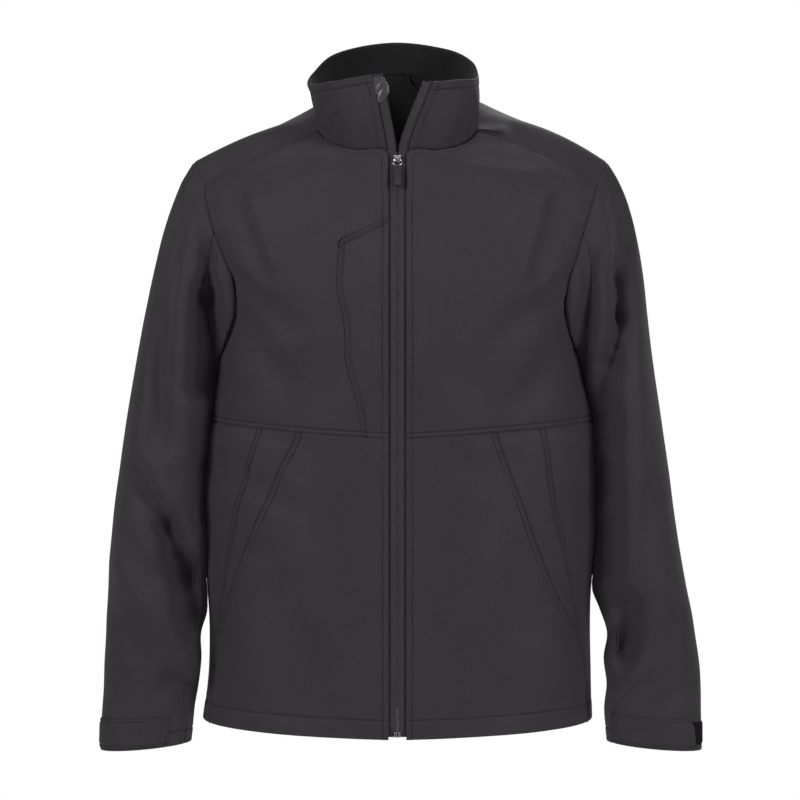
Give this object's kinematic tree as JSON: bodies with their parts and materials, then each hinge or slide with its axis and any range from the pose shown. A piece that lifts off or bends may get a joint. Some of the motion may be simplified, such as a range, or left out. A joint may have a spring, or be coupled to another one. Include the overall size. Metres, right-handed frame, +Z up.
{
  "type": "softshell jacket",
  "caption": "Softshell jacket in its worn, hollow form, with a standing collar, full front zip, chest and hand pockets and cuff tabs.",
  "frame": {"origin": "mid-plane at the height where the shoulders meet the neck, where the wearer holds the jacket up", "axes": "+Z up, -Y the front, +X the wearer's left"},
  "size_m": [0.698, 0.2785, 0.8148],
  "materials": {
    "shell": "matt bonded polyester softshell with a fine woven face, charcoal with a slight aubergine cast",
    "lining": "matt brushed knit, near black",
    "tape": "woven polyester zip tape, charcoal",
    "loop_tape": "woven strap, near black",
    "guard": "smooth satin tricot, dark grey",
    "metal": "plated zinc, bright",
    "pull_plastic": "soft moulded PVC, dark grey",
    "hook_tape": "black hook-and-loop tape, rough"
  },
  "bodies": {
    "jacket": {"front_upper_right": "shell", "chest_pocket_right": "shell", "front_lower_right": "shell", "hand_pocket_right": "shell", "front_side_right": "shell", "front_upper_left": "shell", "front_lower_left": "shell", "hand_pocket_left": "shell", "front_side_left": "shell", "back": "shell", "sleeve_top_right": "shell", "sleeve_under_right": "shell", "sleeve_top_left": "shell", "sleeve_under_left": "shell", "cuff_tab_right": "shell", "cuff_tab_left": "shell", "cuff_patch_right": "hook_tape", "cuff_patch_left": "hook_tape", "collar": "shell", "collar_facing": "lining", "zip_guard": "guard", "zip_tape_right": "tape", "zip_tape_left": "tape", "zip_slider": "metal", "zip_box": "metal", "hang_loop": "loop_tape"},
    "pull": {"zip_ring": "metal", "zip_pull": "pull_plastic"}
  },
  "joints": [
    {"name": "zip_pull_hinge", "type": "hinge", "parent": "jacket", "child": "pull", "pos_m": [0, -0.09334, -0.04958], "axis": [-1, 0, 0], "range_deg": [0, 140]}
  ]
}
